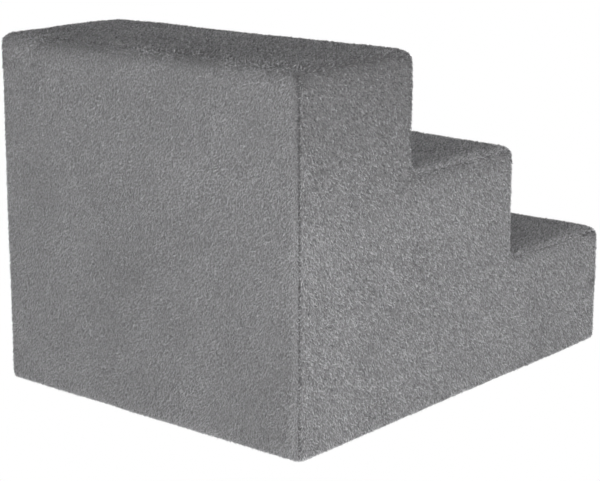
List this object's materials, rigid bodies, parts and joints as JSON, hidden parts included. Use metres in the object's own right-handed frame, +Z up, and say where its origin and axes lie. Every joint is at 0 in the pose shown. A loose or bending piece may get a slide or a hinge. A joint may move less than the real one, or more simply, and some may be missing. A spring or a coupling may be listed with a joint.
{
  "type": "pet stairs",
  "caption": "Three-step pet stairs with a foam core in a removable short-pile plush cover, zipped under a non-slip base.",
  "frame": {"origin": "centre of the footprint, on the floor", "axes": "+Z up, +Y up the steps towards the tall back, +X across the steps"},
  "size_m": [0.44, 0.57, 0.4],
  "materials": {
    "plush": "matte",
    "firm_foam": "matte",
    "soft_foam": "matte",
    "liner_cloth": "matte",
    "binding_tape": "matte",
    "sewing_thread": "matte",
    "base_cloth": "matte",
    "grip_rubber": "matte",
    "zip_tape": "matte",
    "zip_coil": "satin",
    "zip_metal": "satin"
  },
  "bodies": {
    "stairs": {"lower_foam_block": "firm_foam", "middle_foam_block": "firm_foam", "upper_foam_block": "firm_foam", "lower_tread_pad": "soft_foam", "middle_tread_pad": "soft_foam", "upper_tread_pad": "soft_foam", "foam_liner": "liner_cloth", "cover_strip": "plush", "left_side_panel": "plush", "right_side_panel": "plush", "left_seam_binding": "binding_tape", "right_seam_binding": "binding_tape", "left_seam_thread": "sewing_thread", "right_seam_thread": "sewing_thread", "base_panel": "base_cloth", "base_border": "base_cloth", "grip_discs": "grip_rubber", "zip_tape_outer": "zip_tape", "zip_tape_inner": "zip_tape", "zip_coil_outer": "zip_coil", "zip_coil_inner": "zip_coil", "zip_top_stops": "zip_metal", "zip_bottom_stop": "zip_metal"},
    "zip_slider": {"zip_slider": "zip_metal", "pull_pin": "zip_metal"},
    "pull_tab": {"pull_tab": "zip_metal"}
  },
  "joints": [
    {"name": "slider_travel", "type": "slide", "parent": "stairs", "child": "zip_slider", "axis": [0, 1, 0], "range_m": [0, 0.452]},
    {"name": "tab_swing", "type": "hinge", "parent": "zip_slider", "child": "pull_tab", "pos_m": [-0.188, -0.2328, 0.0013], "axis": [-1, 0, 0], "range_deg": [0, 150]}
  ]
}
